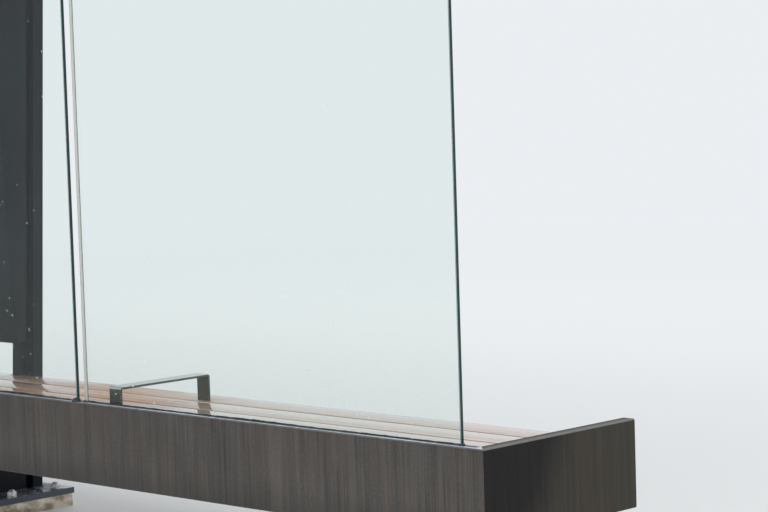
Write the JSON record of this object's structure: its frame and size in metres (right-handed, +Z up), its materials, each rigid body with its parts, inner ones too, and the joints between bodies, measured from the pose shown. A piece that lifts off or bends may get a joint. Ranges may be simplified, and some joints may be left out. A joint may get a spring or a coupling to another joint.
{
  "type": "bus shelter",
  "caption": "Long open bus shelter: glass screen standing in a box beam, slatted timber seat with armrests, two leaning, tapered columns on base plates and a flat roof on tapered arms.",
  "frame": {"origin": "bottom centre of the whole shelter, on the ground under the middle of the roof", "axes": "+Z up, +X along the bench to the right as seen from the street, the street side faces -Y and the glass is at +Y"},
  "size_m": [7.842, 1.56, 2.56],
  "materials": {
    "beam_steel": "satin dark brown-grey, streaked by rain",
    "panel_steel": "satin dark grey, streaked by rain",
    "frame_steel": "matte dark grey",
    "hardwood": "oiled hardwood, damp and weathered",
    "armrest_steel": "dull brushed",
    "clear_glass": "clear, green at the cut edges, spotted by rain",
    "black_rubber": "matte black setting rubber",
    "column_paint": "satin dark blue-grey paint",
    "plate_paint": "worn grey paint over galvanizing",
    "grout": "rough cement grout",
    "zinc_steel": "bright zinc",
    "roof_sheet": "matte grey coated sheet"
  },
  "bodies": {
    "root": {"bench_beam": "beam_steel", "end_panel_left": "panel_steel", "end_panel_right": "panel_steel", "seat_front_rail": "frame_steel", "seat_straps": "frame_steel", "bench_arm_left": "column_paint", "bench_arm_right": "column_paint", "seat_slat_rear": "hardwood", "seat_slat_2": "hardwood", "seat_slat_3": "hardwood", "seat_slat_4": "hardwood", "seat_slat_front": "hardwood", "armrest_1": "armrest_steel", "armrest_2": "armrest_steel", "armrest_3": "armrest_steel", "armrest_4": "armrest_steel", "glass_pane_1": "clear_glass", "glass_pane_2": "clear_glass", "glass_pane_3": "clear_glass", "glass_pane_4": "clear_glass", "glass_pane_5": "clear_glass", "sill_gasket": "black_rubber", "head_gasket": "black_rubber", "head_channel": "column_paint", "column_body_left": "column_paint", "column_body_right": "column_paint", "column_leaf_left": "column_paint", "column_leaf_right": "column_paint", "base_plate_left": "plate_paint", "base_plate_right": "plate_paint", "grout_pad_left": "grout", "grout_pad_right": "grout", "anchor_bolts_left": "zinc_steel", "anchor_bolts_right": "zinc_steel", "roof_arm_left": "column_paint", "roof_arm_right": "column_paint", "roof_edge_front": "column_paint", "roof_edge_back": "column_paint", "roof_edge_left": "column_paint", "roof_edge_right": "column_paint", "roof_deck": "roof_sheet", "roof_soffit": "roof_sheet", "roof_purlins": "frame_steel"}
  },
  "joints": []
}
